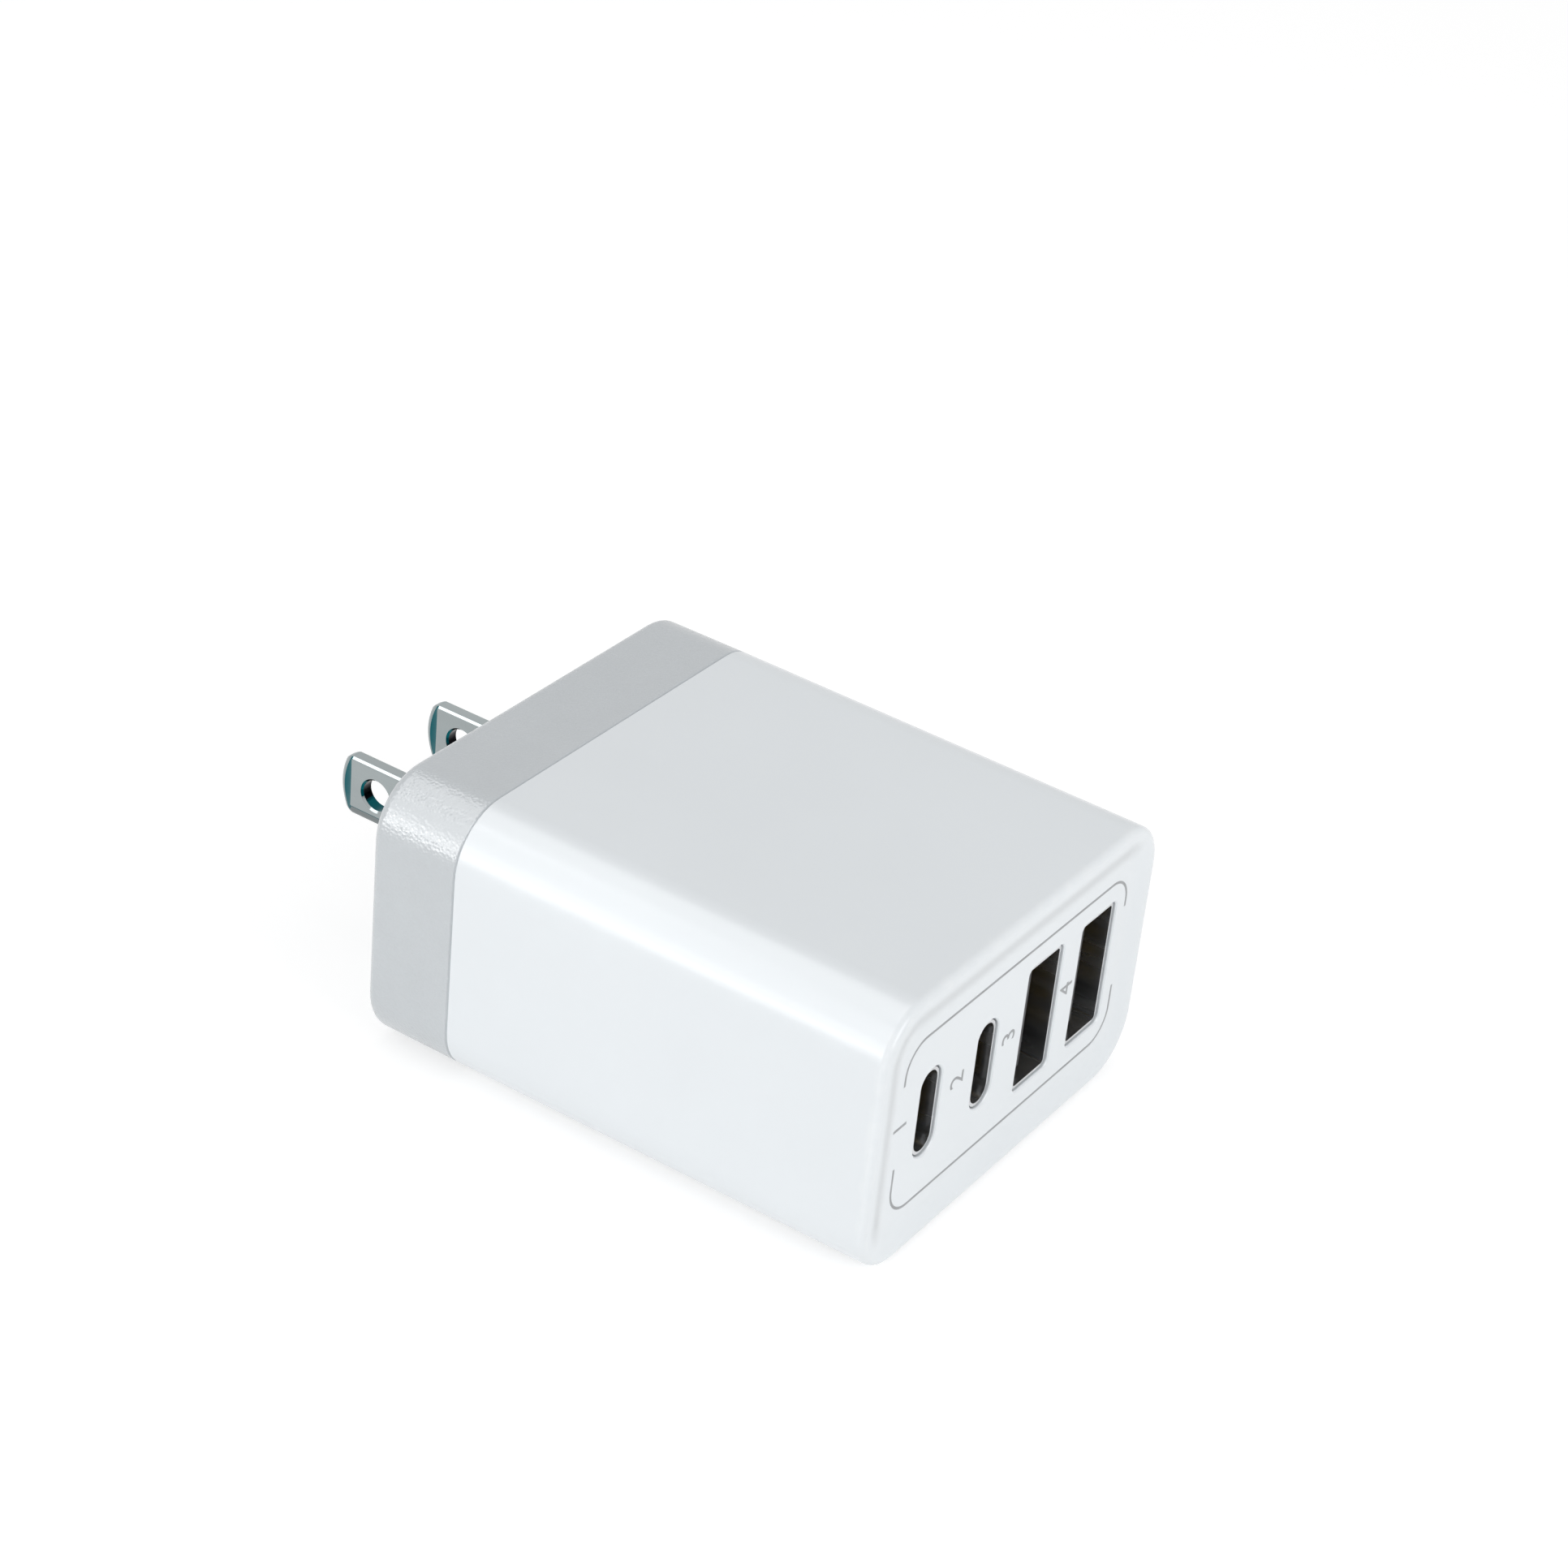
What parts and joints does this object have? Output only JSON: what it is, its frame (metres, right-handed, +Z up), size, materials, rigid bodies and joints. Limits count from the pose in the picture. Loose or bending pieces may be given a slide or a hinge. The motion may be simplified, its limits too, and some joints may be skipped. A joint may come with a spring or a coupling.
{
  "type": "multi-port usb wall charger",
  "caption": "White block wall charger with a grey rear cap, fixed flat plug blades and upright narrow and wide charging ports in its front face.",
  "frame": {"origin": "middle of the flat rear face, half-way between the two plug blades", "axes": "+Z up, +Y out of the rear face along the blades, so the port face looks along -Y; +X to the right for someone facing the ports"},
  "size_m": [0.046, 0.0712, 0.028],
  "materials": {
    "white_shell": "polished white moulded plastic",
    "grey_cap": "finely spark-textured light grey plastic",
    "nickel_blade": "bright nickel plate on brass",
    "spring_bronze": "spring bronze strip",
    "port_steel": "tin-plated steel sheet",
    "port_moulding": "black moulded plastic",
    "gold_contact": "gold-flashed copper alloy",
    "board_laminate": "green solder mask on glass laminate",
    "can_sleeve": "dark shrink sleeve on an aluminium can",
    "bare_can": "bare drawn aluminium",
    "yellow_case": "yellow moulded case",
    "dark_case": "black moulded plastic",
    "blue_lacquer": "blue dipped lacquer",
    "ferrite": "sintered ferrite, dull",
    "copper_wire": "enamelled copper wire",
    "winding_tape": "yellow polyester tape over the winding",
    "chip_epoxy": "moulded epoxy"
  },
  "bodies": {
    "root": {"main_shell": "white_shell", "rear_cap": "grey_cap", "blade_left": "nickel_blade", "blade_right": "nickel_blade", "blade_clip_left": "spring_bronze", "blade_clip_right": "spring_bronze", "main_board": "board_laminate", "port_board": "board_laminate", "bulk_capacitor_1": "can_sleeve", "bulk_capacitor_2": "can_sleeve", "output_capacitor_1": "bare_can", "output_capacitor_2": "bare_can", "line_filter_capacitor": "yellow_case", "fuse": "dark_case", "disc_capacitor": "blue_lacquer", "choke_core": "ferrite", "choke_base": "dark_case", "choke_winding_left": "copper_wire", "choke_winding_right": "copper_wire", "transformer_core_left": "ferrite", "transformer_core_right": "ferrite", "transformer_bobbin": "dark_case", "transformer_winding": "winding_tape", "bridge_rectifier": "chip_epoxy", "switch_chip": "chip_epoxy", "isolator_chip": "chip_epoxy", "rectifier_chip": "chip_epoxy", "port_controller_1": "chip_epoxy", "port_controller_2": "chip_epoxy", "port_inductor_1": "ferrite", "port_inductor_2": "ferrite", "narrow_port_1_shell": "port_steel", "narrow_port_1_tongue": "port_moulding", "narrow_port_1_contacts": "gold_contact", "narrow_port_2_shell": "port_steel", "narrow_port_2_tongue": "port_moulding", "narrow_port_2_contacts": "gold_contact", "wide_port_1_shell": "port_steel", "wide_port_1_tongue": "port_moulding", "wide_port_1_contacts": "gold_contact", "wide_port_2_shell": "port_steel", "wide_port_2_tongue": "port_moulding", "wide_port_2_contacts": "gold_contact", "narrow_port_1_base": "port_moulding", "narrow_port_2_base": "port_moulding"}
  },
  "joints": []
}
